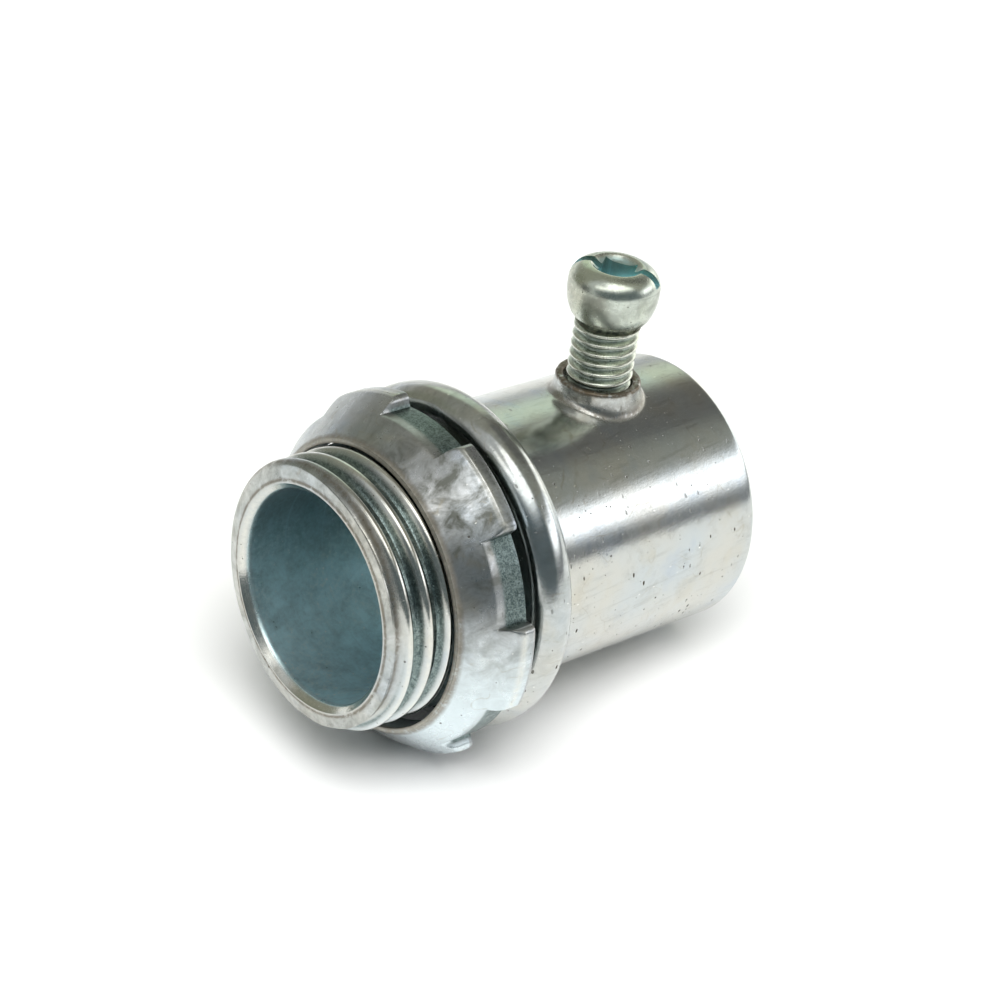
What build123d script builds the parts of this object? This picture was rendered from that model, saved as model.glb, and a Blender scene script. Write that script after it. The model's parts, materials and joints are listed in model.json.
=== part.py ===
from build123d import *
import os
from math import asin, atan2, cos, degrees, hypot, radians, sin, tan

# Conduit and running fits
conduit_diameter = 17.93
socket_clearance = 0.135
locknut_clearance = 0.08
screw_clearance = 0.05

# Barrel: a plain socket for the conduit, open at its rear rim
barrel_wall = 1.6
barrel_length = 20.5
barrel_rim_rounding = 0.45
socket_rim_chamfer = 0.4
stop_height = 1.05
stop_setback = 0.4
stop_chamfer = 0.5

# Flange: the wall folded out into a rolled bead between barrel and nose
bead_height = 2.55
bead_width = 3.4
bead_flat = 0.3
bead_root_rounding = 0.5
crease_width = 0.5
crease_depth = 0.7

# Nose: a threaded spigot that goes through the knockout of a box
nose_length = 10.9
nose_wall = 2.2
neck_relief = 0.2
neck_length = 2.1
throat_chamfer = 0.5
lip_setback = 0.35
lip_rounding = 0.75

# Nose thread: fourteen turns to the inch, with narrow crests
nose_pitch = 25.4 / 14
nose_thread_depth = 0.75
nose_crest_width = 0.42
nose_root_width = 0.55
nose_crest_start = 0.82
nose_lead_in = 2.5
nose_lead_out = 0.6
nose_run_out = 1.6

# Locknut: a stamped and cupped ring with lobes round its rim, loose on its thread
lobe_reach = 2.85
notch_depth = 1.05
lobe_count = 6
notch_angle = 29.0
lobe_corner_rounding = 0.65
nut_gap = 1.3
nut_slack = 0.42
nut_hub_width = 0.25
nut_hub_thickness = 2.2
nut_hub_rounding = 0.4
nut_cup_depth = 3.75
nut_rim_width = 1.1
nut_rim_height = 1.15
nut_rim_rounding = 0.3
nut_turn = 3.0

# Set screw, backed out of the collar that it is tapped into
screw_setback = 8.9
screw_radius = 2.5
screw_neck_length = 0.45
screw_neck_relief = 0.48
shank_length = 7.6
tip_chamfer = 0.5
head_radius = 3.45
head_height = 4.2
head_crown_rounding = 1.4
head_foot_radius = 2.75
head_foot_rise = 1.35
head_foot_rounding = 0.3
head_belly_rounding = 1.3
head_gap = 5.0

# Collar: drawn up out of the barrel wall round the tapped hole
collar_wall = 0.7
collar_height = 1.35
collar_fillet = 0.45
collar_rim_rounding = 0.2
collar_mouth_rounding = 0.4

# Driver recess in the screw head: a slot across a square socket
slot_width = 0.85
slot_depth = 0.95
slot_turn = -59.0
square_width = 2.5
square_depth = 1.9
square_rounding = 0.25

# Corners that are left as cut
sharp = 0.0

# Cutters run past the metal that they cut by this much
overrun = 0.3

# An edge counts as lying at a radius when it is within this distance of it
same_place = 0.01

# Places that follow from the sizes above, measured from the nose tip
flange_front = nose_length
flange_rear = flange_front + bead_width
total_length = flange_rear + barrel_length
socket_floor = flange_rear - stop_setback
thread_end = flange_front - neck_length
nut_rear = flange_front - nut_gap
nut_rim_front = nut_rear - nut_rim_width
nut_front = nut_rim_front - nut_cup_depth
screw_station = total_length - screw_setback
bead_rounding = (bead_width - bead_flat) / 2

# Radii and heights that follow, measured from the connector's axis
socket_radius = conduit_diameter / 2 + socket_clearance
barrel_radius = socket_radius + barrel_wall
bead_radius = barrel_radius + bead_height
throat_radius = socket_radius - stop_height
crest_radius = throat_radius + nose_wall
neck_radius = crest_radius - neck_relief
nut_bore = crest_radius + locknut_clearance + nut_slack
nut_hub_radius = nut_bore + nut_hub_width
lobe_radius = nut_hub_radius + lobe_reach
notch_radius = lobe_radius - notch_depth
collar_bore = screw_radius + screw_clearance
collar_radius = collar_bore + collar_wall
collar_top = barrel_radius + collar_height
head_seat = collar_top + head_gap
head_top = head_seat + head_height
screw_tip = head_seat - shank_length
lobe_pitch = 360 / lobe_count


def along_axis(station):
    """Plane across the connector's axis, with its own X towards the screw's side."""
    return Plane(origin=(station, 0, 0), x_dir=(0, 0, 1), z_dir=(1, 0, 0))


def turned(corners, axis, plane=Plane.XY):
    """Solid of revolution of an outline given as corners with their rounding radii."""
    points = [(first, second) for first, second, rounding in corners]
    radii = [rounding for first, second, rounding in corners]
    outline = FilletPolyline(*points, radius=radii, close=True)
    return revolve(plane * make_face(outline), axis, 360)


def thread_groove(crest, depth, pitch, crest_width, root_width, turns):
    """Helical groove about +Z that leaves a thread; its middle starts at height zero."""
    path = Helix(pitch=pitch, height=pitch * turns, radius=crest - depth)
    mouth_width = pitch - crest_width
    flank = (mouth_width - root_width) / (2 * depth)
    outer_half = mouth_width / 2 + flank * overrun
    outline = Polyline(
        (0, -root_width / 2),
        (depth + overrun, -outer_half),
        (depth + overrun, outer_half),
        (0, root_width / 2),
        close=True,
    )
    section = Plane(origin=path @ 0, x_dir=(1, 0, 0), z_dir=path % 0)
    return sweep(section * make_face(outline), path=path, is_frenet=True)


def body_shell():
    """Nose, flange and barrel as one wall of revolution."""
    corners = [
        (0, throat_radius + throat_chamfer, sharp),
        (lip_setback, crest_radius, lip_rounding),
        (thread_end, crest_radius, sharp),
        (thread_end, neck_radius, sharp),
        (flange_front, neck_radius, sharp),
        (flange_front, bead_radius, bead_rounding),
        (flange_rear, bead_radius, bead_rounding),
        (flange_rear, barrel_radius, bead_root_rounding),
        (total_length, barrel_radius, barrel_rim_rounding),
        (total_length, socket_radius + socket_rim_chamfer, sharp),
        (total_length - socket_rim_chamfer, socket_radius, sharp),
        (socket_floor, socket_radius, sharp),
        (socket_floor, throat_radius + stop_chamfer, sharp),
        (socket_floor - stop_chamfer, throat_radius, sharp),
        (throat_chamfer, throat_radius, sharp),
    ]
    return turned(corners, Axis.X)


def nose_groove():
    """Groove of the nose thread, which fades out over its last turn before the neck."""
    turns = (thread_end - nose_crest_start) / nose_pitch + nose_lead_in + nose_lead_out
    groove = thread_groove(
        crest_radius, nose_thread_depth, nose_pitch, nose_crest_width, nose_root_width, turns
    )
    placed = along_axis(nose_crest_start - nose_lead_in * nose_pitch) * groove
    fade_start = thread_end - nose_pitch
    root_radius = crest_radius - nose_thread_depth
    fade_outline = Polyline(
        (fade_start - nose_run_out, 0),
        (fade_start - nose_run_out, root_radius - nose_thread_depth),
        (fade_start + 2 * nose_run_out, root_radius + 2 * nose_thread_depth),
        (flange_front + bead_width, root_radius + 2 * nose_thread_depth),
        (flange_front + bead_width, 0),
        close=True,
    )
    return placed - revolve(make_face(fade_outline), Axis.X, 360)


def bead_crease():
    """Thin ring groove in the throat, where the folded wall closes on itself."""
    middle = flange_front + bead_width / 2
    outline = Polyline(
        (middle - crease_width / 2, throat_radius - overrun),
        (middle, throat_radius + crease_depth),
        (middle + crease_width / 2, throat_radius - overrun),
        close=True,
    )
    return revolve(make_face(outline), Axis.X, 360)


def collared_barrel(shell):
    """Adds the collar to the wall, rounds its foot and rim, and opens its hole."""
    at_screw = Pos(screw_station, 0, 0)
    upwards = (Align.CENTER, Align.CENTER, Align.MIN)
    mid_wall = socket_radius + barrel_wall / 2
    collar = at_screw * Cylinder(collar_radius, collar_top, align=upwards)
    inside = Cylinder(mid_wall, 2 * (collar_radius + overrun))
    collar = collar - along_axis(screw_station) * inside
    joined = shell + collar
    rim = joined.edges().filter_by(GeomType.CIRCLE).sort_by(Axis.Z)[-1]
    joined = fillet(rim, collar_rim_rounding)
    foot = [edge for edge in joined.edges() if is_collar_edge(edge, collar_radius, mid_wall)]
    joined = fillet(foot, collar_fillet)
    joined = joined - at_screw * Cylinder(collar_bore, head_top, align=upwards)
    mouth = [
        edge
        for edge in joined.edges()
        if is_collar_edge(edge, collar_bore, 0) and edge.center().Z < mid_wall
    ]
    return fillet(mouth, collar_mouth_rounding)


def is_collar_edge(edge, radius, lowest):
    """True for an edge that runs round the screw's axis where a cylinder meets the wall."""
    stays_at_radius = all(
        abs(hypot(point.X - screw_station, point.Y) - radius) < same_place
        for point in edge.positions([0, 1 / 3, 1 / 2])
    )
    return stays_at_radius and lowest < edge.center().Z < collar_top - collar_rim_rounding


def connector_body():
    """The formed steel body: nose, bead, barrel and collar in one piece."""
    return collared_barrel(body_shell()) - bead_crease() - nose_groove()


def locknut():
    """Cupped ring: the hub faces the nose tip, the lobes reach back towards the flange."""
    corners = [
        (nut_front, nut_bore, sharp),
        (nut_front, nut_hub_radius, nut_hub_rounding),
        (nut_rim_front, lobe_radius, nut_rim_rounding),
        (nut_rear, lobe_radius, sharp),
        (nut_rear, lobe_radius - nut_rim_height, sharp),
        (nut_front + nut_hub_thickness, nut_bore, sharp),
    ]
    ring = turned(corners, Axis.X)
    for index in range(lobe_count):
        ring = ring - notch(nut_turn + index * lobe_pitch)
    return hung(fillet(lobe_corners(ring), lobe_corner_rounding))


def lowest_notch():
    """Angle from the screw's side to the notch that is nearest to straight down."""
    return nut_turn + round((180 - nut_turn) / lobe_pitch) * lobe_pitch


def hung(ring):
    """Lets the ring hang on the thread, with all its slack towards the lowest notch."""
    down = radians(lowest_notch())
    return Pos(0, -nut_slack * sin(down), nut_slack * cos(down)) * ring


def notch(angle):
    """Sector outside the notch floor, at an angle from the screw's side."""
    reach = lobe_radius + total_length
    half_width = reach * tan(radians(notch_angle / 2))
    outline = Polyline((0, 0), (reach, half_width), (reach, -half_width), close=True)
    wedge = extrude(make_face(outline), total_length)
    floor = Cylinder(notch_radius, 2 * (total_length + overrun))
    return along_axis(0) * (Rot(0, 0, angle) * (wedge - floor))


def lobe_corners(ring):
    """Edges along the axis where a lobe's rim turns into its notch walls."""
    along = ring.edges().filter_by(Axis.X)
    rim = lobe_radius - same_place
    return [edge for edge in along if hypot(edge.center().Y, edge.center().Z) > rim]


def set_screw():
    """Shank and barrel-shaped head with a slot and a square recess."""
    neck_foot = head_seat - screw_neck_length
    corners = [
        (0, screw_tip, sharp),
        (screw_radius - tip_chamfer, screw_tip, sharp),
        (screw_radius, screw_tip + tip_chamfer, sharp),
        (screw_radius, neck_foot, sharp),
        (screw_radius - screw_neck_relief, neck_foot, sharp),
        (screw_radius - screw_neck_relief, head_seat, sharp),
        (head_foot_radius, head_seat, head_foot_rounding),
        (head_radius, head_seat + head_foot_rise, head_belly_rounding),
        (head_radius, head_top, head_crown_rounding),
        (0, head_top, sharp),
    ]
    return Pos(screw_station, 0, 0) * (turned(corners, Axis.Z, Plane.XZ) - driver_recess())


def driver_recess():
    """Slot across the head with a square socket at its middle."""
    downwards = (Align.CENTER, Align.CENTER, Align.MAX)
    at_crown = Pos(0, 0, head_top + overrun)
    slot = Box(2 * (head_radius + overrun), slot_width, slot_depth + overrun, align=downwards)
    square = Box(square_width, square_width, square_depth + overrun, align=downwards)
    square = fillet(square.edges().filter_by(Axis.Z), square_rounding)
    return at_crown * (Rot(0, 0, slot_turn) * (slot + square))


def lobe_foot():
    """Distance of the floor below the axis when it meets the lobes beside the lowest notch."""
    corner_radius = lobe_radius - lobe_corner_rounding
    corner_angle = radians(notch_angle / 2) + asin(lobe_corner_rounding / corner_radius)
    return corner_radius * cos(corner_angle) + lobe_corner_rounding + nut_slack


def resting_slope(station, reach, rounding):
    """Slope of the axis when an edge at that reach and the barrel's rear rim meet a floor."""
    run = total_length - barrel_rim_rounding - station
    fall = reach - rounding - barrel_radius + barrel_rim_rounding
    return degrees(atan2(fall, run) + asin((rounding - barrel_rim_rounding) / hypot(run, fall)))


def laid_down(pieces):
    """Stands the connector on a floor at height zero, centred over the origin."""
    slope_on_lobes = resting_slope(nut_rear, lobe_foot(), 0)
    slope_on_bead = resting_slope(flange_rear - bead_rounding, bead_radius, bead_rounding)
    slope = max(slope_on_lobes, slope_on_bead)
    attitude = Rot(0, slope, 0) * Rot(180 - lowest_notch(), 0, 0)
    tipped = {name: attitude * solid for name, solid in pieces.items()}
    boxes = [solid.bounding_box() for solid in tipped.values()]
    middle_x = (min(box.min.X for box in boxes) + max(box.max.X for box in boxes)) / 2
    middle_y = (min(box.min.Y for box in boxes) + max(box.max.Y for box in boxes)) / 2
    lowest = min(box.min.Z for box in boxes)
    to_floor = Pos(-middle_x, -middle_y, -lowest)
    return {name: to_floor * solid for name, solid in tipped.items()}


pieces = {
    "connector_body": connector_body(),
    "locknut": locknut(),
    "set_screw": set_screw(),
}

os.makedirs("parts", exist_ok=True)
for name, solid in laid_down(pieces).items():
    export_step(solid, f"parts/{name}.step")
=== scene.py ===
"""Zinc plated set screw connector for thin walled conduit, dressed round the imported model."""
import json
import math

import bmesh
import bpy
import numpy as np
from mathutils import Matrix, Vector


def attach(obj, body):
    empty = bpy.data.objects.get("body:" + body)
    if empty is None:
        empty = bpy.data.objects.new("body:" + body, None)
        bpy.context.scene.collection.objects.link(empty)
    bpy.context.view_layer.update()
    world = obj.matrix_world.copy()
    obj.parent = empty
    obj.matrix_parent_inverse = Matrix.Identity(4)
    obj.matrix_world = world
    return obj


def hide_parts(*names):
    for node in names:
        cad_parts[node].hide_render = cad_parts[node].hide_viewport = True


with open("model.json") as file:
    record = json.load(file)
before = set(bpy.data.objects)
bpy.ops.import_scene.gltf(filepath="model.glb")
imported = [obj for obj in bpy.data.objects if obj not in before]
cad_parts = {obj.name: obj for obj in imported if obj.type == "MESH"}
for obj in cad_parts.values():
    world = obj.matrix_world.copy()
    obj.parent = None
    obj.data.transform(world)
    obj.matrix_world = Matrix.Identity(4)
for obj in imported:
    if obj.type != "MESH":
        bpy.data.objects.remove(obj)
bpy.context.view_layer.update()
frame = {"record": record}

record = frame["record"]
mounts = {mount["name"]: mount for mount in record["mounts"]}
joints = {joint["name"]: joint for joint in record["behaviour"]["joints"]}
MM = 0.001

# Sizes in millimetres, in the connector's own frame: x from the nose tip, z towards the screw
socket_radius = 9.1
barrel_radius = 10.7
bead_radius = 13.25
crest_radius = 10.25
neck_radius = 10.05
throat_radius = 8.05
nose_length = 10.9
bead_width = 3.4
barrel_length = 20.5
socket_depth = 20.9
bead_rounding = 1.55
bead_root_rounding = 0.5
rim_rounding = 0.45
lip_front = (0.227, 9.651)
lip_centre = 0.961
lip_rounding = 0.75
throat_chamfer = 0.5
socket_chamfer = 0.4
stop_rounding = 0.5
neck_length = 2.1
neck_rounding = 0.2
crease_width = 0.5
crease_depth = 0.7
flange_rear = nose_length + bead_width
total_length = flange_rear + barrel_length
socket_floor = total_length - socket_depth
thread_end = nose_length - neck_length

# Nose thread
nose_pitch = 25.4 / 14
thread_depth = 0.75
crest_flat = 0.08
root_flat = 0.14
crest_start = 0.82
thread_run_out = 1.6

# Set screw and its collar
screw_station = 25.9
screw_radius = 2.5
screw_pitch = 0.8
screw_thread_depth = 0.42
screw_crest_flat = 0.04
screw_root_flat = 0.06
screw_neck_radius = 2.05
screw_neck_length = 0.45
screw_tip = 9.45
tip_chamfer = 0.5
collar_foot_radius = 4.0
collar_hole = 2.55
collar_mouth_rounding = 0.4
raggedness = 0.024
head_seat = 17.05
head_height = 4.2
head_radius = 3.45
crown_rounding = 1.5
crown_setback = 1.53
slot_turn = -59.0
slot_width = 0.85
slot_depth = 0.95
square_width = 2.5
square_depth = 1.9

# Locknut
nut_front = 4.75
nut_bore = 10.75
nut_hub_radius = 11.0
rim_front = 8.5
rim_rear = 9.6
lobe_radius = 13.85
notch_radius = 12.8
lobe_count = 6
notch_angle = 29.0
notch_softness = 0.1
lobe_corner = 0.65
nut_turn = 3.0
nut_slack = 0.42
nut_foot = 6.95
nut_rim_height = 1.15
nut_bulge = 0.16
bulge_forward = 0.6
bulge_outward = 0.8
nut_aside = nut_slack * math.sin(math.radians(nut_turn))
nut_drop = nut_slack * math.cos(math.radians(nut_turn))

# The connector's frame inside the row's frame
socket_middle = (socket_floor + total_length - socket_chamfer) / 2
along = Vector(mounts["conduit_socket"]["axis"]).normalized()
upward = -Vector(joints["screw_travel"]["axis"]).normalized()
sideways = upward.cross(along).normalized()
upward = along.cross(sideways)
nose_tip = Vector(mounts["conduit_socket"]["pos_m"]) - along * socket_middle * MM
to_row = Matrix.Translation(nose_tip) @ Matrix((along, sideways, upward)).transposed().to_4x4()


def row_points(points):
    """Points in millimetres in the connector's frame, as metres in the row's frame."""
    turn = np.array(to_row.to_3x3())
    return np.asarray(points) * MM @ turn.T + np.array(to_row.translation)


def add_mesh(name, points, faces, sharp_angle=38.0):
    """A smooth shaded mesh object from points in the connector's frame."""
    mesh = bpy.data.meshes.new(name)
    mesh.from_pydata([tuple(p) for p in row_points(points)], [], [tuple(f) for f in faces])
    work = bmesh.new()
    work.from_mesh(mesh)
    bmesh.ops.remove_doubles(work, verts=work.verts, dist=2e-7)
    bmesh.ops.dissolve_degenerate(work, edges=work.edges, dist=1e-7)
    work.to_mesh(mesh)
    work.free()
    mesh.validate()
    mesh.shade_smooth()
    mesh.set_sharp_from_angle(angle=math.radians(sharp_angle))
    piece = bpy.data.objects.new(name, mesh)
    bpy.context.scene.collection.objects.link(piece)
    return piece


def grid_faces(rows, columns, loop_rows=False, first=0):
    """Quads of a grid of points whose columns close on themselves."""
    faces = []
    for row in range(rows if loop_rows else rows - 1):
        below = (row + 1) % rows
        for column in range(columns):
            beside = (column + 1) % columns
            faces.append(
                (
                    first + row * columns + column,
                    first + row * columns + beside,
                    first + below * columns + beside,
                    first + below * columns + column,
                )
            )
    return faces


def arc(centre_x, centre_r, radius, start, end, count):
    """Points on an arc of a profile, by angle from the x direction towards the radius."""
    turns = np.radians(np.linspace(start, end, count))
    return [(centre_x + radius * math.cos(t), centre_r + radius * math.sin(t)) for t in turns]


def line(start, end, count):
    """Points on a straight part of a profile, without its last one."""
    run, rise = end[0] - start[0], end[1] - start[1]
    shares = np.linspace(0, 1, count, endpoint=False)
    return [(start[0] + run * share, start[1] + rise * share) for share in shares]


def smooth_step(low, high, value):
    """0 at the first bound and 1 at the second, with a soft start and end between them."""
    share = np.clip((value - low) / (high - low), 0, 1)
    return share * share * (3 - 2 * share)


# Connector body: one closed wall, with the thread worked into the nose
columns = 240
patch_columns = 40
patch_half_width = 5.6
patch_rows = 40
turns = np.arange(columns) / columns * 2 * math.pi

outer = []
outer += line((0.0, throat_radius + throat_chamfer), lip_front, 12)
outer += arc(lip_centre, crest_radius - lip_rounding, lip_rounding, 168.4, 95, 12)
outer += line((lip_centre, crest_radius), (thread_end, crest_radius), 118)
outer += line((thread_end, crest_radius), (thread_end + 0.1, neck_radius), 2)
outer += line((thread_end + 0.1, neck_radius), (nose_length - 0.15, neck_radius), 6)
outer += arc(nose_length - neck_rounding, neck_radius + neck_rounding, neck_rounding, -90, 0, 4)
bead_centre = bead_radius - bead_rounding
outer += line((nose_length, neck_radius + 0.25), (nose_length, bead_centre), 4)
outer += arc(nose_length + bead_rounding, bead_centre, bead_rounding, 180, 90, 14)
outer += arc(flange_rear - bead_rounding, bead_centre, bead_rounding, 90, 0, 14)
bead_foot = flange_rear + bead_root_rounding
outer += arc(bead_foot, barrel_radius + bead_root_rounding, bead_root_rounding, 180, 270, 7)[:-1]
patch_front = screw_station - patch_half_width
patch_rear = screw_station + patch_half_width
outer += line((bead_foot, barrel_radius), (patch_front, barrel_radius), 14)
patch_start = len(outer)
outer += line((patch_front, barrel_radius), (patch_rear, barrel_radius), patch_rows)
outer += line((patch_rear, barrel_radius), (total_length - rim_rounding, barrel_radius), 8)
outer += arc(total_length - rim_rounding, barrel_radius - rim_rounding, rim_rounding, 90, 0, 8)
inner_rim = total_length - socket_chamfer
outer += arc(inner_rim, socket_radius + socket_chamfer, socket_chamfer, 0, -90, 7)[:-1]
outer += line((inner_rim, socket_radius), (patch_rear, socket_radius), 6)
inner_patch_start = len(outer)
outer += line((patch_rear, socket_radius), (patch_front, socket_radius), patch_rows)
outer += line((patch_front, socket_radius), (socket_floor, socket_radius), 8)
outer += line((socket_floor, socket_radius), (socket_floor, throat_radius + stop_rounding), 3)
outer += arc(socket_floor - stop_rounding, throat_radius + stop_rounding, stop_rounding, 0, -90, 5)
crease = nose_length + bead_width / 2
crease_rear = (crease + crease_width / 2, throat_radius)
crease_front = (crease - crease_width / 2, throat_radius)
outer += line((socket_floor - 0.6, throat_radius), crease_rear, 3)
outer += line(crease_rear, (crease, throat_radius + crease_depth), 4)
outer += line((crease, throat_radius + crease_depth), crease_front, 4)
outer += line(crease_front, (throat_chamfer, throat_radius), 24)
outer += line((throat_chamfer, throat_radius), (0.0, throat_radius + throat_chamfer), 4)
profile = np.array(outer)
rows = len(profile)


def threaded_radius(station, radius, turn):
    """Radius of the nose where its thread is cut into a blank of that radius."""
    place = (station - crest_start) / nose_pitch - turn / (2 * math.pi)
    from_crest = np.abs(place - np.round(place)) * nose_pitch
    share = smooth_step(crest_flat, nose_pitch / 2 - root_flat, from_crest)
    floor = crest_radius - thread_depth * share
    fade_start = thread_end - nose_pitch
    fade = crest_radius - thread_depth + thread_depth * (station - fade_start) / thread_run_out
    return np.minimum(radius, np.maximum(floor, fade))


body_points = np.zeros((rows, columns, 3))
for row, (station, radius) in enumerate(profile):
    radii = np.full(columns, radius)
    if row < patch_start and station < thread_end and radius > throat_radius + 1:
        radii = threaded_radius(station, radius, turns)
    body_points[row, :, 0] = station
    body_points[row, :, 1] = -radii * np.sin(turns)
    body_points[row, :, 2] = radii * np.cos(turns)


def column_index(step):
    """Column at a number of steps from the screw's side."""
    return step % columns


half = patch_columns // 2


def patch_loop(start, forward):
    """Indices round the edge of a patch under the screw, in one sense for both walls."""
    order = list(range(patch_rows + 1))
    rows_up = [start + (i if forward else patch_rows - i) for i in order]
    loop = [rows_up[i] * columns + column_index(-half) for i in order[:-1]]
    loop += [rows_up[-1] * columns + column_index(-half + j) for j in range(patch_columns)]
    loop += [rows_up[-1 - i] * columns + column_index(half) for i in order[:-1]]
    loop += [rows_up[0] * columns + column_index(half - j) for j in range(patch_columns)]
    return loop


def in_patch(face_row, face_column):
    """Whether a face lies in the patch under the screw, on either wall."""
    inside_column = (face_column + half) % columns < patch_columns
    on_outer = patch_start <= face_row < patch_start + patch_rows
    on_inner = inner_patch_start <= face_row < inner_patch_start + patch_rows
    return inside_column and (on_outer or on_inner)


all_faces = grid_faces(rows, columns, loop_rows=True)
body_faces = [
    face
    for number, face in enumerate(all_faces)
    if not in_patch(number // columns, number % columns)
]
body_list = body_points.reshape(-1, 3)
outer_loop = patch_loop(patch_start, True)
inner_loop = patch_loop(inner_patch_start, False)
outer_edge = body_list[outer_loop]
inner_edge = body_list[inner_loop]
loop_turn = np.arctan2(outer_edge[:, 1], outer_edge[:, 0] - screw_station)

# Rings of the collar: radius, lift, and how far the ring has left the barrel's curve
collar_rings = [
    (3.86, 0.01, 0.0),
    (3.74, 0.03, 0.0),
    (3.63, 0.08, 0.03),
    (3.53, 0.15, 0.08),
    (3.44, 0.25, 0.17),
    (3.37, 0.38, 0.32),
    (3.32, 0.54, 0.50),
    (3.29, 0.72, 0.70),
    (3.27, 0.90, 0.86),
    (3.26, 1.05, 0.96),
    (3.25, 1.16, 1.0),
    (3.22, 1.25, 1.0),
    (3.15, 1.32, 1.0),
    (3.04, 1.35, 1.0),
    (2.91, 1.345, 1.0),
    (2.79, 1.33, 1.0),
    (2.68, 1.28, 1.0),
    (2.60, 1.18, 1.0),
    (2.57, 1.05, 1.0),
    (2.55, 0.85, 1.0),
]
# The collar's edge is a little ragged
rim_noise = np.random.default_rng(7)
waves = [(rim_noise.uniform(-1, 1), rim_noise.uniform(0, 6.28), k) for k in (3, 5, 8, 13, 21, 34)]
ragged = sum(size * np.sin(k * loop_turn + start) / (1 + 0.08 * k) for size, start, k in waves)
ragged = ragged * raggedness


def barrel_height(lateral, radius):
    """Height of a wall of that radius at a distance to the side of the axis."""
    return np.sqrt(radius**2 - lateral**2)


# Rings from the outer patch's edge over the collar, down its hole and out to the inner patch
rings = []
circle = np.stack([np.cos(loop_turn), np.sin(loop_turn)], axis=1)
edge_plane = np.stack([outer_edge[:, 0] - screw_station, outer_edge[:, 1]], axis=1)
for share in np.linspace(0, 1, 9)[1:]:
    plane = edge_plane * (1 - share) + circle * collar_foot_radius * share
    height = barrel_height(plane[:, 1], barrel_radius)
    rings.append(np.stack([plane[:, 0] + screw_station, plane[:, 1], height], axis=1))
for radius, lift, level in collar_rings:
    plane = circle * radius * (1 + 0.25 * ragged[:, None] * min(1.0, lift))
    height = (1 - level) * barrel_height(plane[:, 1], barrel_radius) + level * barrel_radius
    height = height + lift * (1 + ragged)
    rings.append(np.stack([plane[:, 0] + screw_station, plane[:, 1], height], axis=1))
mouth_radius = collar_hole + collar_mouth_rounding
for height in np.linspace(barrel_radius + 0.6, socket_radius + 0.45, 7):
    plane = circle * collar_hole
    level = np.full(len(circle), height)
    rings.append(np.column_stack([plane[:, 0] + screw_station, plane[:, 1], level]))
for bend in np.radians(np.linspace(0, 90, 5)[1:]):
    plane = circle * (mouth_radius - collar_mouth_rounding * math.cos(bend))
    height = barrel_height(plane[:, 1], socket_radius) + collar_mouth_rounding
    height = height - collar_mouth_rounding * math.sin(bend)
    rings.append(np.column_stack([plane[:, 0] + screw_station, plane[:, 1], height]))
inner_plane = np.stack([inner_edge[:, 0] - screw_station, inner_edge[:, 1]], axis=1)
for share in np.linspace(0, 1, 5)[1:-1]:
    plane = circle * mouth_radius * (1 - share) + inner_plane * share
    height = barrel_height(plane[:, 1], socket_radius)
    rings.append(np.column_stack([plane[:, 0] + screw_station, plane[:, 1], height]))

loop_length = len(outer_loop)
ring_indices = [outer_loop]
body_all = [body_list]
next_index = len(body_list)
for ring in rings:
    ring_indices.append(list(range(next_index, next_index + loop_length)))
    body_all.append(ring)
    next_index += loop_length
ring_indices.append(inner_loop)
for upper, lower in zip(ring_indices, ring_indices[1:]):
    for k in range(loop_length):
        m = (k + 1) % loop_length
        body_faces.append((upper[k], upper[m], lower[m], lower[k]))
body_piece = add_mesh("connector_shell", np.concatenate(body_all), body_faces, sharp_angle=50.0)
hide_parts("connector_body")
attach(body_piece, "connector")


# Locknut: a cupped ring whose rim is cut back between its lobes
def rim_limit(turn):
    """Radius that the nut reaches at a turn from the screw's side, in radians."""
    pitch = 2 * math.pi / lobe_count
    from_gap = (turn - math.radians(nut_turn) + pitch / 2) % pitch - pitch / 2
    inside = (np.abs(from_gap) - math.radians(notch_angle / 2)) * lobe_radius
    bend = np.clip(inside / lobe_corner, 0, 1)
    rounding = np.sqrt(np.clip(1 - (1 - bend) ** 2, 0, 1))
    rounded = lobe_radius - lobe_corner + lobe_corner * rounding
    wall = smooth_step(-0.12, 0.05, inside)
    return notch_radius + (rounded - notch_radius) * wall


# Columns of the nut, closer together at the walls of its notches
near_wall = (-0.3, -0.2, -0.12, -0.08, -0.04, -0.01, 0.02, 0.05)
near_wall += (0.1, 0.17, 0.26, 0.38, 0.52, 0.68, 0.85, 1.05)
half_gap = math.radians(notch_angle / 2)
half_pitch = math.pi / lobe_count
offsets = [half_gap + distance / lobe_radius for distance in near_wall]
spread = list(np.linspace(0, offsets[0], 20, endpoint=False))
spread += offsets
spread += list(np.linspace(offsets[-1], half_pitch, 22, endpoint=False))[1:]
nut_turns = []
for lobe in range(lobe_count):
    gap_turn = math.radians(nut_turn + lobe * 360 / lobe_count)
    nut_turns += [gap_turn + d for d in spread] + [gap_turn - d for d in spread[1:]]
    nut_turns.append(gap_turn + half_pitch)
nut_turns = np.array(sorted(t % (2 * math.pi) for t in nut_turns))

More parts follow.
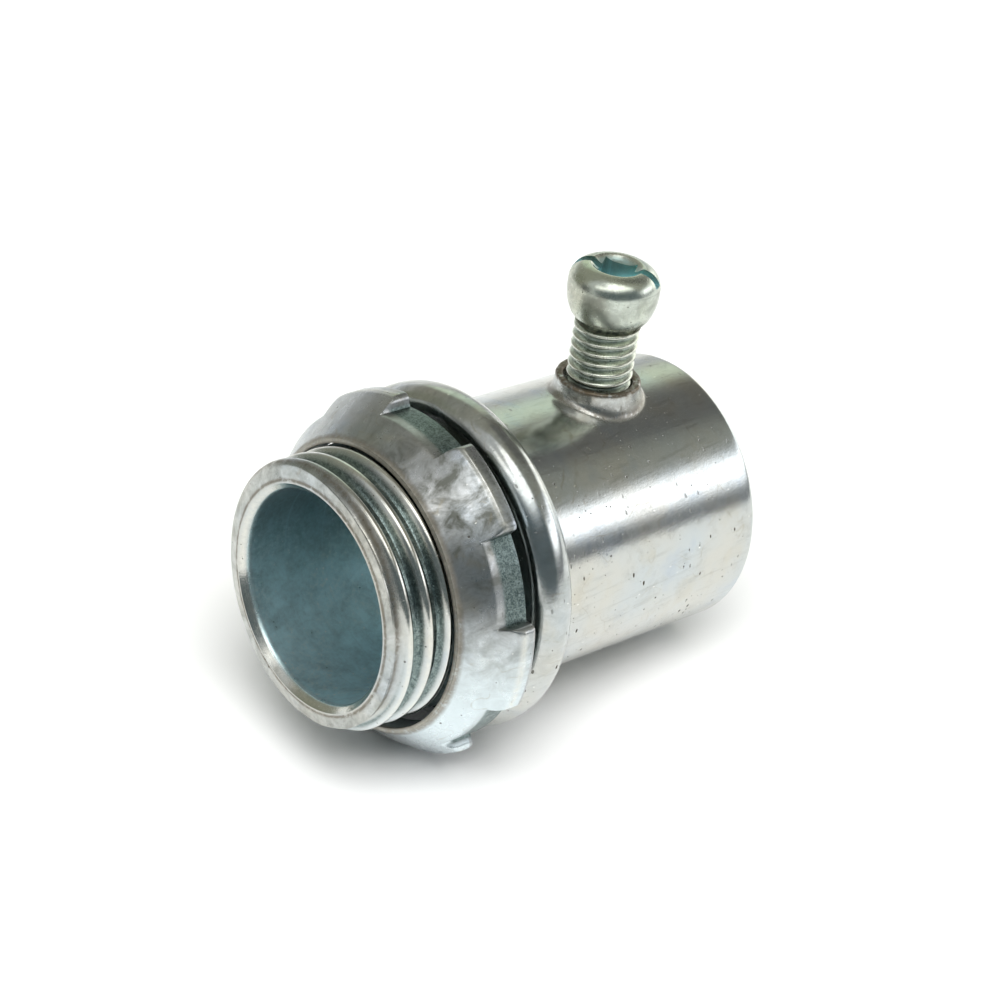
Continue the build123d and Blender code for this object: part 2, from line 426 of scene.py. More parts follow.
nut_profile = []
nut_profile += line((nut_front + 0.1, nut_bore), (nut_front, nut_bore + 0.1), 2)
nut_profile += line((nut_front, nut_bore + 0.1), (nut_front, nut_hub_radius - 0.3), 3)
nut_profile += [(nut_front + 0.02, nut_hub_radius - 0.2), (nut_front + 0.08, nut_hub_radius - 0.06)]
for share in np.linspace(0.02, 0.97, 26):
    bulge = nut_bulge * math.sin(math.pi * share)
    station = nut_front + (rim_front - nut_front) * share - bulge_forward * bulge
    radius = nut_hub_radius + (lobe_radius - nut_hub_radius) * share + bulge_outward * bulge
    nut_profile.append((station, radius))
nut_profile += arc(rim_front + 0.25, lobe_radius - 0.3, 0.3, 130, 90, 5)
nut_profile += line((rim_front + 0.35, lobe_radius), (rim_rear - 0.08, lobe_radius), 6)
nut_profile += [(rim_rear - 0.08, lobe_radius), (rim_rear, lobe_radius - 0.08)]
rim_bottom = lobe_radius - nut_rim_height
nut_profile += line((rim_rear, lobe_radius - 0.2), (rim_rear, rim_bottom + 0.15), 4)
nut_profile += [(rim_rear - 0.1, rim_bottom)]
inner_start = (rim_rear - 0.25, rim_bottom - 0.15)
nut_profile += line(inner_start, (nut_foot, nut_bore), 18)
nut_profile += line((nut_foot, nut_bore), (nut_front + 0.1, nut_bore), 16)
nut_profile = np.array(nut_profile)


def soft_least(first, second, softness):
    """The lesser of two values, rounded off where they meet."""
    mix = np.clip(0.5 + 0.5 * (second - first) / softness, 0, 1)
    return second * (1 - mix) + first * mix - softness * mix * (1 - mix)


limit = rim_limit(nut_turns)
nut_points = np.zeros((len(nut_profile), len(nut_turns), 3))
for row, (station, radius) in enumerate(nut_profile):
    radii = np.minimum(soft_least(np.full(len(limit), radius), limit, notch_softness), radius)
    nut_points[row, :, 0] = station
    nut_points[row, :, 1] = -radii * np.sin(nut_turns) + nut_aside
    nut_points[row, :, 2] = radii * np.cos(nut_turns) - nut_drop
nut_piece = add_mesh(
    "locknut_ring",
    nut_points.reshape(-1, 3),
    grid_faces(len(nut_profile), len(nut_turns), loop_rows=True),
    sharp_angle=32.0,
)
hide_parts("locknut")
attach(nut_piece, "nut")

# Set screw: threaded shank and a barrel shaped head with its recess cut out
screw_columns = 120
head_top = head_seat + head_height
neck_foot = head_seat - screw_neck_length
row_step = 0.05
axis_radius = 0.001
screw_rows = [(axis_radius, screw_tip), (1.2, screw_tip), (screw_radius - tip_chamfer, screw_tip)]
for height in np.arange(screw_tip + tip_chamfer, neck_foot, row_step):
    screw_rows.append((screw_radius, height))
screw_rows += [(screw_neck_radius, neck_foot), (screw_neck_radius, head_seat)]
# The head's underside and belly, by radius and height over its seat
belly = [(2.6, 0.0), (2.78, 0.08), (2.92, 0.24), (3.05, 0.48), (3.17, 0.76)]
belly += [(3.28, 1.06), (3.36, 1.4), (3.42, 1.8), (3.45, 2.2)]
screw_rows += [(radius, head_seat + lift) for radius, lift in belly]
for bend in np.radians(np.linspace(0, 84, 24)):
    radius = head_radius - crown_rounding + crown_rounding * math.cos(bend)
    screw_rows.append((radius, head_top - crown_setback + crown_rounding * math.sin(bend)))
# The shallow dish round its recess, by radius and depth
dish = [(2.02, 0.01), (1.95, 0.03), (1.82, 0.12), (1.6, 0.3)]
dish += [(1.4, 0.42), (1.1, 0.46), (0.6, 0.47), (axis_radius, 0.47)]
screw_rows += [(radius, head_top - depth) for radius, depth in dish]
screw_turns = np.arange(screw_columns) / screw_columns * 2 * math.pi
screw_points = np.zeros((len(screw_rows), screw_columns, 3))
for row, (radius, height) in enumerate(screw_rows):
    radii = np.full(screw_columns, radius)
    if screw_tip < height < neck_foot:
        place = (height - screw_tip) / screw_pitch - screw_turns / (2 * math.pi)
        from_crest = np.abs(place - np.round(place)) * screw_pitch
        share = smooth_step(screw_crest_flat, screw_pitch / 2 - screw_root_flat, from_crest)
        radii = np.minimum(radii, screw_radius - screw_thread_depth * share)
    screw_points[row, :, 0] = screw_station + radii * np.cos(screw_turns)
    screw_points[row, :, 1] = radii * np.sin(screw_turns)
    screw_points[row, :, 2] = height
screw_faces = grid_faces(len(screw_rows), screw_columns)
screw_faces.append(tuple(reversed(range(screw_columns))))
last = (len(screw_rows) - 1) * screw_columns
screw_faces.append(tuple(range(last, last + screw_columns)))
screw_sharp_angle = 40.0
screw_piece = add_mesh(
    "set_screw_solid", screw_points.reshape(-1, 3), screw_faces, sharp_angle=screw_sharp_angle
)


def cutter_box(name, length, width, depth):
    """A box down from above the head, turned to the slot's direction."""
    turn = math.radians(slot_turn)
    base = np.array([math.cos(turn), math.sin(turn)])
    across = np.array([-math.sin(turn), math.cos(turn)])
    points = []
    for height in (head_top - depth, head_top + 1):
        for a, b in ((-1, -1), (1, -1), (1, 1), (-1, 1)):
            flat = base * a * length / 2 + across * b * width / 2
            points.append((screw_station + flat[0], flat[1], height))
    faces = [(3, 2, 1, 0), (4, 5, 6, 7), (0, 1, 5, 4), (1, 2, 6, 5), (2, 3, 7, 6), (3, 0, 4, 7)]
    return add_mesh(name, points, faces)


def cut(piece, tool):
    """Takes one closed mesh out of the screw's and removes the tool."""
    modifier = piece.modifiers.new("cut", "BOOLEAN")
    modifier.operation = "DIFFERENCE"
    modifier.solver = "EXACT"
    modifier.object = tool
    bpy.context.view_layer.update()
    evaluated = piece.evaluated_get(bpy.context.evaluated_depsgraph_get())
    shaped = bpy.data.meshes.new_from_object(evaluated)
    piece.modifiers.clear()
    piece.data = shaped
    shaped.set_sharp_from_angle(angle=math.radians(screw_sharp_angle))
    bpy.data.objects.remove(tool)


cut(screw_piece, cutter_box("slot_cutter", 3 * head_radius, slot_width, slot_depth))
cut(screw_piece, cutter_box("square_cutter", square_width, square_width, square_depth))
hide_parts("set_screw")
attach(screw_piece, "screw")


# Places on the pieces that the materials treat in their own way
to_body = np.array(to_row.inverted())


def places(piece):
    """Vertices of a piece in millimetres in the connector's frame."""
    points = np.empty(3 * len(piece.data.vertices))
    piece.data.vertices.foreach_get("co", points)
    return (points.reshape(-1, 3) @ to_body[:3, :3].T + to_body[:3, 3]) / MM


def paint(piece, name, values):
    """Stores one value for each vertex, for the materials to read."""
    layer = piece.data.attributes.new(name, "FLOAT", "POINT")
    layer.data.foreach_set("value", np.clip(values, 0, 1).astype(np.float32))


def ridge(value, middle, width):
    """1 at a place, falling away on both sides of it."""
    return np.exp(-(((value - middle) / width) ** 2))


def paint_body(piece):
    """Bore, painted shade in thread valleys and corners, dirt, smudges, painted light, pits and
    worn edges of the body.
    """
    x, y, z = places(piece).T
    r = np.hypot(y, z)
    from_screw = np.hypot(x - screw_station, y)
    low_side = smooth_step(2.0, -7.0, z)
    in_throat = smooth_step(8.95, 8.7, r) * smooth_step(0.3, 0.6, x) * (x < socket_floor)
    in_socket = smooth_step(9.6, 9.3, r) * (x >= socket_floor)
    on_lip = smooth_step(1.0, 0.5, x) * smooth_step(8.6, 8.8, r)
    on_thread = smooth_step(0.8, 1.0, x) * smooth_step(thread_end + 0.4, thread_end, x) * (r > 9.3)
    on_bead = smooth_step(nose_length, nose_length + 0.3, x) * (r > 11)
    on_bead = on_bead * smooth_step(flange_rear + 0.2, flange_rear, x)
    on_barrel = smooth_step(flange_rear + 0.5, flange_rear + 2, x) * (r > 10)
    near_collar = (z > 10) * (from_screw < 5)

    # Bore and socket: a teal tint darker than the outside, partly the plate's own colour and partly
    # painted shade
    paint(piece, "inside", in_throat + in_socket)
    # Thread valleys: painted shade
    paint(piece, "valley", on_thread * smooth_step(0.12, 0.5, crest_radius - r))
    # Lower half of the throat: painted light, a lighter tint
    paint(piece, "lit", in_throat * smooth_step(4.0, -6.0, z))
    # Dirt on the collar's rim, painted shade at the collar's foot and the bead's root, and two dark
    # lines round the lip
    soil_and_shade = near_collar * smooth_step(11.6, 11.9, z) * (from_screw < 3.6)
    soil_and_shade = soil_and_shade + 0.7 * near_collar * ridge(from_screw, 3.55, 0.3) * (z < 11.6)
    soil_and_shade = soil_and_shade + 0.7 * ridge(x, flange_rear + 0.25, 0.35) * (r < 11.6) * (r > 10)
    soil_and_shade = soil_and_shade + 0.9 * ridge(r, 8.78, 0.13) * (x < 0.3)
    soil_and_shade = soil_and_shade + 0.7 * ridge(x, 0.5, 0.16) * (r > 9.4)
    paint(piece, "soil_and_shade", soil_and_shade)
    # Smudges on the lip; smudges and painted shade on the bead's upper side
    paint(piece, "smear_and_shade", 0.55 * on_lip + 0.3 * on_bead * (1 - low_side))
    pitted = on_bead * (0.3 + 1.2 * low_side)
    pitted = pitted + on_barrel * (0.3 + 0.7 * smooth_step(6.0, 0.0, z))
    paint(piece, "pitted", pitted)
    # Lower side of the thread: painted light, lighter
    paint(piece, "lit_side", 0.5 * on_thread * low_side)
    worn = on_thread * smooth_step(0.16, 0.03, crest_radius - r)
    worn = worn + ridge(np.hypot(x - 0.25, r - 8.3), 0, 0.3)
    worn = worn + 0.6 * smooth_step(34.45, 34.75, x)
    paint(piece, "worn", worn)


def paint_nut(piece):
    """Bore, painted shade on notch floors and round the bore, smudges and painted shade, painted
    light on the lower faces, and worn edges of the locknut.
    """
    x, y, z = places(piece).T
    r = np.hypot(y - nut_aside, z + nut_drop)
    turn = np.degrees(np.arctan2(-y, z))
    on_notch = smooth_step(notch_radius + 0.5, notch_radius + 0.1, r) * smooth_step(7.4, 7.9, x)
    hub_edge = ridge(np.hypot(x - nut_front - 0.1, r - nut_hub_radius + 0.05), 0, 0.28)
    rim_edge = smooth_step(lobe_radius - 0.2, lobe_radius - 0.05, r)
    rim_edge = rim_edge * ridge(x, rim_front + 0.1, 0.3)
    # Smudges and painted shade on the upper faces, painted shade on the lower lobe's shadow side
    # from turn 146, painted light on the lower faces
    upper_face = 1.1 * ridge(turn, 30, 38) + 0.4 * ridge(turn, 80, 30)
    upper_face = upper_face + 0.9 * smooth_step(146, 172, turn)
    lower_face = smooth_step(70, 108, turn) * smooth_step(158, 138, turn)

    # Bore: a teal tint darker than the outside, partly the plate's own colour and partly painted
    # shade
    paint(piece, "inside", smooth_step(nut_bore + 0.12, nut_bore + 0.02, r))
    # Notch floors: painted shade
    paint(piece, "valley", on_notch)
    # Painted shade on the hub's front round the bore
    paint(piece, "soil_and_shade", smooth_step(0.5, 0.1, np.abs(x - nut_front)) * (r < nut_hub_radius + 0.4))
    paint(piece, "worn", hub_edge + rim_edge)
    paint(piece, "smear_and_shade", (r > nut_hub_radius) * upper_face * (x < rim_rear - 0.2))
    paint(piece, "pitted", np.full(len(r), 0.25))
    paint(piece, "lit", np.zeros(len(r)))
    # Lower faces: painted light, lighter
    paint(piece, "lit_side", lower_face * (r > nut_hub_radius - 0.3) * (x < rim_rear - 0.3))


def paint_screw(piece):
    """Recess with painted shade and painted light, painted shade in thread valleys and under the
    head, a darker band round the head's side, and worn edges of the set screw.
    """
    x, y, z = places(piece).T
    r = np.hypot(x - screw_station, y)
    on_shank = z < neck_foot
    slot_cos, slot_sin = math.cos(math.radians(slot_turn)), math.sin(math.radians(slot_turn))
    along_slot = (x - screw_station) * slot_cos + y * slot_sin
    over_slot = y * slot_cos - (x - screw_station) * slot_sin
    half_square = square_width / 2 + 0.02
    in_square = (np.abs(along_slot) < half_square) * (np.abs(over_slot) < half_square)
    in_square = in_square * (z < head_top - 0.7)
    in_slot = (np.abs(over_slot) < slot_width / 2 + 0.02) * (z < head_top - 0.6)
    in_slot = in_slot * (z > head_top - slot_depth - 0.02)
    in_dish = (r < 1.9) * smooth_step(head_top - 0.1, head_top - 0.3, z)
    in_recess = np.maximum(np.maximum(in_square, in_slot), 0.55 * in_dish)
    worn = on_shank * smooth_step(0.1, 0.02, screw_radius - r)
    worn = worn + (z > head_top - 0.05) * (r > 1.85)

    # Recess: a teal tint darker than the outside, partly the plate's own colour and partly painted
    # shade
    paint(piece, "inside", (z > head_seat + 1) * in_recess)
    # A darker band round the head's side
    paint(piece, "smear_and_shade", (z > head_seat) * (z < head_top - 1.2) * 0.45)
    paint(piece, "pitted", np.full(len(r), 0.3))
    # One half of the square recess: painted light, a lighter tint
    paint(piece, "lit", in_square * (along_slot > 0))
    paint(piece, "lit_side", np.zeros(len(r)))
    # Thread valleys: painted shade
    paint(piece, "valley", 0.7 * on_shank * smooth_step(0.12, 0.38, screw_radius - r))
    # Under the head: painted shade
    paint(piece, "soil_and_shade", ridge(z, head_seat - 0.1, 0.3) * (r < 2.6))
    paint(piece, "worn", worn)


paint_body(body_piece)
paint_nut(nut_piece)
paint_screw(screw_piece)


# Tints that the three platings share
yellow_blush = (0.52, 0.48, 0.38)
blue_blush = (0.40, 0.47, 0.56)
# Lighter tint: painted light on lit sides
lit_side_tint = (0.72, 0.81, 0.84)
# Dark film: smudges and painted shade
smear_and_shade_film = (0.12, 0.125, 0.105)
water_mark = (0.30, 0.25, 0.15)
dark_speck = (0.06, 0.048, 0.03)
bright_glint = (0.92, 0.92, 0.88)
# Light patches: painted light in the lit part of a bore
lit_patch_tint = (0.80, 0.84, 0.80)
# White specks in the lit part of a bore: partly dusty dirt, partly painted glints
dust_and_glint_white = (0.95, 0.97, 0.93)
# Painted shade in thread valleys and notch floors, dark and lighter
valley_shade = (0.06, 0.09, 0.088)
valley_shade_pale = (0.26, 0.33, 0.32)
# Brown: dirt, and painted shade in corners, round the nut's bore and under the screw's head
brown_soil_and_shade = (0.115, 0.085, 0.05)
bare_metal = (0.78, 0.77, 0.70)
relief_height = 0.00004


# Materials
class Nodes:
    """Short calls for building a node tree."""

    def __init__(self, tree):
        self.tree = tree
        tree.nodes.clear()

    def add(self, kind, values=None, **settings):
        """A new node with its settings, and its inputs linked or set."""
        node = self.tree.nodes.new(kind)
        for key, value in settings.items():
            setattr(node, key, value)
        for key, value in (values or {}).items():
            if isinstance(value, bpy.types.NodeSocket):
                self.tree.links.new(value, node.inputs[key])
            else:
                node.inputs[key].default_value = value
        return node

    def link(self, source, target):
        self.tree.links.new(source, target)

    def noise(self, place, scale, detail, roughness=0.55, distortion=0.0):
        """Soft noise with about 0.5 as its middle."""
        values = {"Vector": place, "Scale": scale, "Detail": detail, "Roughness": roughness}
        values["Distortion"] = distortion
        return self.add("ShaderNodeTexNoise", values).outputs["Fac"]

    def ramp(self, value, low, high, start=0.0, end=1.0):
        """A value between two bounds, stretched to a start and an end and held there."""
        values = {"Value": value, "From Min": low, "From Max": high, "To Min": start, "To Max": end}
        return self.add("ShaderNodeMapRange", values, clamp=True).outputs["Result"]

    def mix(self, share, first, second):
        """The first colour, with a share of the second in its place."""
        node = self.add("ShaderNodeMix", {0: share}, data_type="RGBA")
        for index, value in ((6, first), (7, second)):
            if isinstance(value, bpy.types.NodeSocket):
                self.link(value, node.inputs[index])
            else:
                node.inputs[index].default_value = (*value, 1.0)
        return node.outputs[2]

    def maths(self, operation, first, second):
        return self.add("ShaderNodeMath", {0: first, 1: second}, operation=operation).outputs[0]

    def times(self, first, second):
        return self.maths("MULTIPLY", first, second)

    def plus(self, first, second):
        return self.maths("ADD", first, second)

    def greater(self, first, second):
        return self.maths("MAXIMUM", first, second)

    def scaled(self, place, scale):
        """A place with each of its directions multiplied."""
        return self.add("ShaderNodeMapping", {"Vector": place, "Scale": scale}).outputs[0]

    def painted(self, name):
        """The values that paint() stored under a name."""
        return self.add("ShaderNodeAttribute", attribute_name=name).outputs["Fac"]

    def spots(self, place, scale, size, share):
        """Small round spots, one in some of the cells of a random pattern."""
        values = {"Vector": place, "Scale": scale, "Randomness": 1.0}
        cells = self.add("ShaderNodeTexVoronoi", values)
        near = self.ramp(cells.outputs["Distance"], size * 0.6, size, 1.0, 0.0)
        pick = self.add("ShaderNodeSeparateColor", {"Color": cells.outputs["Color"]}).outputs[0]
        return self.times(near, self.ramp(pick, 1 - share, 1 - share + 0.02))


def lighter(colour, factor):
    """A colour with each of its parts multiplied."""
    return tuple(factor * part for part in colour)


def zinc(name, cool, warm, dark, inside, mottle, speck_share, rough, bump_strength, streak):
    """Zinc plate with tints, dull mottling, specks and glints, dirt and painted shade in its
    corners and hollows, painted light on lit parts, and worn edges.
    """
    material = bpy.data.materials.new(name)
    material.use_nodes = True
    n = Nodes(material.node_tree)
    place = n.scaled(n.add("ShaderNodeTexCoord").outputs["Object"], (1 / MM, 1 / MM, 1 / MM))
    deep, lit, valley = n.painted("inside"), n.painted("lit"), n.painted("valley")
    broad = n.noise(place, 0.13, 3.0)
    blush = n.noise(n.scaled(place, (1.1, 0.8, 0.9)), 0.31, 4.0, 0.6)
    patches = n.noise(place, 0.62, 7.0, 0.62, 0.3)
    fine = n.noise(place, 2.9, 6.0, 0.68)
    grain = n.noise(place, 9.0, 3.0, 0.6)
    lines = n.noise(n.scaled(place, streak), 1.0, 5.0, 0.6)

    # The plate itself: two tones, coloured blushes, dull patches and streaks, then painted light
    # that makes lit sides lighter, and a dark film of smudges and painted shade
    tint = n.mix(n.ramp(broad, 0.36, 0.64), cool, warm)
    tint = n.mix(n.ramp(blush, 0.56, 0.74, 0.0, 0.4), tint, yellow_blush)
    tint = n.mix(n.ramp(blush, 0.44, 0.28, 0.0, 0.4), tint, blue_blush)
    dull = n.times(n.ramp(patches, 0.5, 0.74), n.ramp(fine, 0.38, 0.56))
    tint = n.mix(n.times(dull, mottle), tint, dark)
    tint = n.mix(n.times(n.ramp(lines, 0.56, 0.68), 0.22), tint, dark)
    # Painted light: lit sides lighter
    tint = n.mix(n.times(n.painted("lit_side"), 0.9), tint, lit_side_tint)
    # Dark film: smudges, and painted shade on upper sides and on the nut's lower lobe
    smears_and_shade = n.noise(n.scaled(place, (0.45, 0.7, 0.7)), 1.0, 6.0, 0.66, 0.5)
    smears_and_shade = n.times(n.painted("smear_and_shade"), n.ramp(smears_and_shade, 0.38, 0.62))
    tint = n.mix(n.times(smears_and_shade, 0.9), tint, smear_and_shade_film)
    dried_drops = n.noise(place, 0.24, 1.0, 0.4, 0.8)
    edges = n.maths("ABSOLUTE", n.maths("SUBTRACT", dried_drops, 0.57), 0.0)
    edges = n.times(n.ramp(edges, 0.01, 0.0), n.ramp(patches, 0.45, 0.6, 0.0, 0.35))
    tint = n.mix(edges, tint, water_mark)

    # Dark specks and pits, and small bright glints
    specks = n.spots(place, 1.1, 0.12, speck_share)
    specks = n.greater(specks, n.spots(place, 2.6, 0.16, speck_share))
    specks = n.times(specks, n.ramp(fine, 0.34, 0.5))
    dashes = n.spots(n.scaled(place, (1.0, 0.42, 0.42)), 1.7, 0.18, speck_share * 3.0)
    dashes = n.times(n.times(dashes, n.painted("pitted")), n.ramp(patches, 0.44, 0.52))
    specks = n.greater(specks, n.times(dashes, 1.4))
    specks = n.times(specks, n.ramp(deep, 0.0, 0.8, 1.0, 0.0))
    tint = n.mix(n.times(specks, 0.85), tint, dark_speck)
    glints = n.spots(n.scaled(place, (0.5, 1.3, 1.0)), 2.6, 0.17, 0.2)
    glints = n.times(glints, n.ramp(patches, 0.46, 0.56))
    tint = n.mix(n.times(glints, 0.8), tint, bright_glint)

    # Bores and recesses: teal, partly own colour and partly painted shade, stained and ringed along
    # the connector's axis; painted light below and in half the screw's square: much lighter, with
    # light patches and white specks of dirt and glints
    inner = n.ramp(n.plus(fine, n.times(patches, 0.5)), 0.6, 0.9)
    inner = n.mix(inner, inside, lighter(inside, 1.5))
    clouds = n.ramp(n.plus(patches, n.times(fine, 0.5)), 0.55, 0.9, 0.55, 1.0)
    # Painted light: the lit part much lighter
    inner = n.mix(n.times(lit, clouds), inner, lighter(inside, 3.6))
    depth = n.add("ShaderNodeVectorMath", {0: place, 1: tuple(along)}, operation="DOT_PRODUCT")
    depth = n.add("ShaderNodeCombineXYZ", {"X": depth.outputs["Value"]}).outputs[0]
    rings = n.noise(depth, 1.5, 4.0, 0.7)
    inner = n.mix(n.ramp(rings, 0.56, 0.66, 0.0, 0.45), inner, lighter(inside, 2.6))
    # Painted light in the lit part: light patches, then white specks that are partly dirt and
    # partly painted glints
    lit_patches = n.times(n.times(n.ramp(fine, 0.5, 0.66), n.ramp(blush, 0.46, 0.58)), 0.5)
    inner = n.mix(n.times(lit_patches, lit), inner, lit_patch_tint)
    dust_and_glints = n.times(n.spots(place, 1.9, 0.17, 0.45), n.ramp(patches, 0.44, 0.56))
    inner = n.mix(n.times(dust_and_glints, lit), inner, dust_and_glint_white)
    tint = n.mix(n.times(deep, 0.92), tint, inner)

    # Painted shade in thread valleys and notch floors, dirt and painted shade in corners, and worn
    # edges
    # Painted shade in the valleys, mottled in strength
    valley_shade_strength = n.ramp(n.plus(patches, n.times(valley, 0.5)), 0.55, 0.95)
    hollow = n.ramp(n.plus(grain, n.times(fine, 0.9)), 0.8, 1.15)
    hollow = n.mix(hollow, valley_shade, valley_shade_pale)
    tint = n.mix(n.times(n.times(valley, 0.95), n.ramp(valley_shade_strength, 0.0, 1.0, 0.6, 1.0)), tint, hollow)
    # Dirt, and painted shade in corners, round the nut's bore and under the screw's head
    soil_and_shade = n.ramp(n.plus(fine, n.times(patches, 0.4)), 0.46, 0.70)
    soil_and_shade = n.times(n.painted("soil_and_shade"), soil_and_shade)
    tint = n.mix(n.times(soil_and_shade, 0.92), tint, brown_soil_and_shade)
    worn = n.times(n.painted("worn"), n.ramp(fine, 0.36, 0.58, 0.35, 1.0))
    tint = n.mix(n.times(worn, 0.55), tint, bare_metal)

    # Gloss and relief
    gloss = n.plus(n.times(patches, 0.6), n.times(fine, 0.4))
    gloss = n.ramp(gloss, 0.34, 0.66, rough[0], rough[1])
    gloss = n.plus(gloss, n.plus(n.times(specks, 0.3), n.times(soil_and_shade, 0.25)))
    gloss = n.plus(gloss, n.plus(n.times(deep, 0.16), n.times(valley, 0.08)))
    gloss = n.plus(gloss, n.times(smears_and_shade, 0.16))
    relief = n.plus(n.times(fine, 0.5), n.times(grain, 0.22))
    relief = n.plus(relief, n.times(patches, 0.55))
    relief = n.plus(relief, n.times(lines, 0.25))
    relief = n.maths("SUBTRACT", relief, n.times(specks, 1.2))
    values = {"Height": relief, "Strength": bump_strength, "Distance": relief_height}
    normal = n.add("ShaderNodeBump", values).outputs["Normal"]
    metallic = n.ramp(n.plus(deep, n.times(soil_and_shade, 0.8)), 0.0, 1.0, 1.0, 0.87)
    values = {"Base Color": tint, "Roughness": gloss, "Metallic": metallic, "Normal": normal}
    shader = n.add("ShaderNodeBsdfPrincipled", values)
    n.link(shader.outputs[0], n.add("ShaderNodeOutputMaterial").inputs["Surface"])
    return material


body_piece.data.materials.append(
    zinc(
        "body_zinc_plate",
        cool=(0.53, 0.57, 0.58),
        warm=(0.57, 0.57, 0.53),
        dark=(0.24, 0.24, 0.22),
        inside=(0.19, 0.27, 0.29),
        mottle=0.3,
        speck_share=0.16,
        rough=(0.11, 0.21),
        bump_strength=0.24,
        streak=(0.25, 2.6, 2.6),
    )
)
nut_piece.data.materials.append(
    zinc(
        "nut_zinc_plate",
        cool=(0.46, 0.50, 0.53),
        warm=(0.46, 0.47, 0.47),
        dark=(0.14, 0.14, 0.125),
        inside=(0.20, 0.24, 0.25),
        mottle=0.35,
        speck_share=0.06,
        rough=(0.22, 0.34),
        bump_strength=0.24,
        streak=(1.2, 1.2, 1.2),
    )
)
screw_piece.data.materials.append(
    zinc(
        "screw_zinc_plate",
        cool=(0.55, 0.60, 0.56),
        warm=(0.56, 0.60, 0.48),
        dark=(0.22, 0.22, 0.20),
        inside=(0.20, 0.36, 0.38),
        mottle=0.4,
        speck_share=0.08,
        rough=(0.17, 0.32),
        bump_strength=0.3,
        streak=(3.2, 3.2, 0.3),
    )
)

# Floor
floor_size = 3.0
floor_mesh = bpy.data.meshes.new("floor")
edge = floor_size / 2
corners = [(-edge, -edge, 0), (edge, -edge, 0), (edge, edge, 0), (-edge, edge, 0)]
floor_mesh.from_pydata(corners, [], [(0, 1, 2, 3)])
floor = bpy.data.objects.new("floor", floor_mesh)
bpy.context.scene.collection.objects.link(floor)
floor_material = bpy.data.materials.new("pale_floor")
floor_material.use_nodes = True
n = Nodes(floor_material.node_tree)
shader = n.add("ShaderNodeBsdfPrincipled", {"Base Color": (0.97, 0.97, 0.97, 1), "Roughness": 0.9})
n.link(shader.outputs[0], n.add("ShaderNodeOutputMaterial").inputs["Surface"])
floor_mesh.materials.append(floor_material)

# Soft light tent: its inside shows in the metal, and the camera looks through it.
# Up to a strength of 0.5 Cycles does not sample the tent as a lamp. Its light reaches the
# scene all the same, in about half the render time, so its colours make up for the strength.
tent_radius = 0.9
tent_strength = 0.5
tent_tilt = -10.6
tent_colour = (0.62, 0.64, 0.64)
tent_columns = 180
tent_rows = 80
around = np.linspace(-180, 180, tent_columns, endpoint=False)
azimuth, elevation = np.meshgrid(around, np.linspace(-20, 89.9, tent_rows))
azimuth, elevation = azimuth.ravel(), elevation.ravel()


def window(value, low, high, soft):
    """1 between two angles, falling to 0 over a soft edge outside them."""
    rising = np.clip((value - low + soft) / (2 * soft), 0, 1)
    falling = np.clip((high + soft - value) / (2 * soft), 0, 1)
    return rising * falling


# Where the tent is lighter or darker: azimuths, elevations, soft edge, colour
tent_zones = (
    ((-62, 148), (24, 95), 6, (0.36, 0.36, 0.31)),
    ((100, 138), (-14, 50), 5, (0.30, 0.31, 0.25)),
    ((-20, 24), (30, 62), 7, (0.17, 0.17, 0.16)),
    ((30, 64), (20, 40), 5, (0.85, 0.98, 0.8)),
    ((-180, -62), (44, 57), 4, (2.4, 2.4, 2.35)),
    ((-140, -62), (57, 80), 5, (2.8, 2.8, 2.75)),
    ((-172, -60), (-12, 36), 6, (0.14, 0.17, 0.18)),
    ((-54, -20), (6, 21), 3.5, (2.5, 2.5, 2.55)),
    ((-16, 26), (-2, 23), 4, (2.0, 2.0, 1.9)),
    ((-60, -18), (-20, 1), 2, (0.26, 0.27, 0.28)),
    ((56, 92), (-12, 12), 6, (1.9, 1.9, 1.9)),
    ((142, 168), (-12, 32), 6, (0.12, 0.13, 0.13)),
)
light = np.tile(tent_colour, (azimuth.size, 1))
for azimuths, elevations, soft, colour in tent_zones:
    share = window(azimuth, *azimuths, soft) * window(elevation, *elevations, soft)
    light += share[:, None] * (np.array(colour) - light)

turn, rise = np.radians(azimuth), np.radians(elevation)
tent_points = tent_radius * np.column_stack(
    (np.cos(rise) * np.cos(turn), np.cos(rise) * np.sin(turn), np.sin(rise))
)
tent_mesh = bpy.data.meshes.new("light_tent")
tent_mesh.from_pydata(tent_points.tolist(), [], grid_faces(tent_rows, tent_columns))
tent_light = tent_mesh.attributes.new("light", "FLOAT_VECTOR", "POINT")
tent_light.data.foreach_set("vector", light.ravel() / tent_strength)
tent = bpy.data.objects.new("light_tent", tent_mesh)
bpy.context.scene.collection.objects.link(tent)
tent.rotation_euler = (math.radians(tent_tilt), 0, 0)
tent.visible_camera = False
tent.visible_shadow = False

tent_material = bpy.data.materials.new("tent_cloth")
tent_material.use_nodes = True
n = Nodes(tent_material.node_tree)
painted_light = n.add("ShaderNodeAttribute", attribute_name="light").outputs["Vector"]
glow = n.add("ShaderNodeEmission", {"Color": painted_light, "Strength": tent_strength})
n.link(glow.outputs[0], n.add("ShaderNodeOutputMaterial").inputs["Surface"])
tent_mesh.materials.append(tent_material)

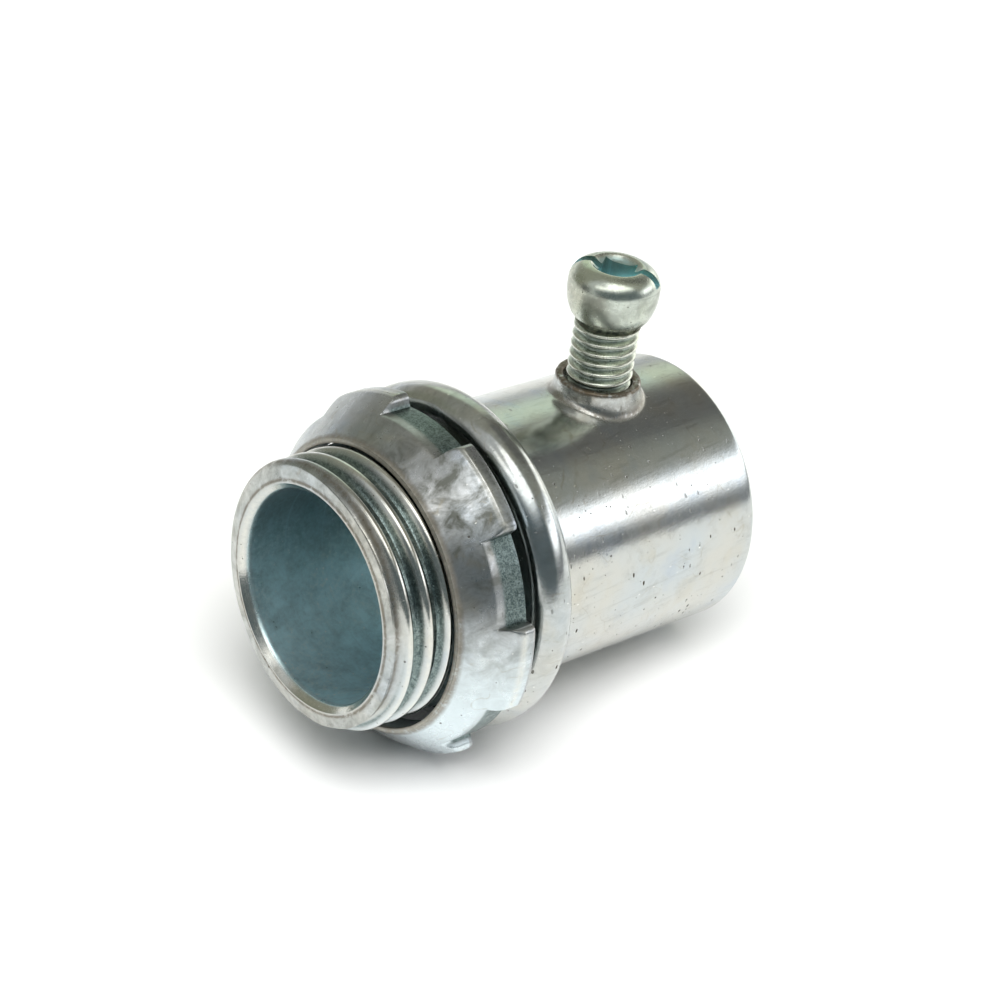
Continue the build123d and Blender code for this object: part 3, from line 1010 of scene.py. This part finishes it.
# World: plain white round the tent, a little darker where it lights matt surfaces
world = bpy.data.worlds.new("studio")
bpy.context.scene.world = world
world.use_nodes = True
n = Nodes(world.node_tree)
paths = n.add("ShaderNodeLightPath")
seen = n.greater(paths.outputs["Is Camera Ray"], paths.outputs["Is Glossy Ray"])
seen = n.greater(seen, paths.outputs["Is Transmission Ray"])
shade = n.mix(seen, (0.8, 0.8, 0.8), (1.0, 1.0, 1.0))
sky = n.add("ShaderNodeBackground", {"Color": shade, "Strength": 1.0})
n.link(sky.outputs[0], n.add("ShaderNodeOutputWorld").inputs["Surface"])

# Lamp: one soft overhead box that also grounds the object with its shadow
lamp_data = bpy.data.lights.new("overhead_box", "AREA")
lamp_data.shape = "RECTANGLE"
lamp_data.size = 0.5
lamp_data.size_y = 0.35
lamp_data.energy = 2.6
lamp = bpy.data.objects.new("overhead_box", lamp_data)
bpy.context.scene.collection.objects.link(lamp)
lamp_azimuth, lamp_elevation = math.radians(-120), math.radians(68)
lamp_place = 0.6 * Vector(
    (
        math.cos(lamp_elevation) * math.cos(lamp_azimuth),
        math.cos(lamp_elevation) * math.sin(lamp_azimuth),
        math.sin(lamp_elevation),
    )
)
lamp.location = lamp_place
lamp.visible_glossy = False
lamp.rotation_euler = (-lamp_place).to_track_quat("-Z", "Y").to_euler()

# Camera at the photograph's angle, in the connector's frame
camera_place = (-102.9, -121.5, 102.6)
camera_right = (0.7556, -0.6417, 0.1318)
camera_down = (-0.2409, -0.4594, -0.8550)
camera_forward = (0.6091, 0.6142, -0.5017)
camera_data = bpy.data.cameras.new("photo_camera")
camera_data.lens = 95.0
camera_data.sensor_width = 36.0
camera_data.clip_start = 0.01
camera = bpy.data.objects.new("photo_camera", camera_data)
bpy.context.scene.collection.objects.link(camera)
basis = Matrix((Vector(camera_right), -Vector(camera_down), -Vector(camera_forward))).transposed()
pose = to_row.to_3x3() @ basis
camera.matrix_world = Matrix.Translation(to_row @ (Vector(camera_place) * MM)) @ pose.to_4x4()
bpy.context.scene.camera = camera
bpy.context.scene.view_settings.view_transform = "Standard"

bpy.context.view_layer.update()
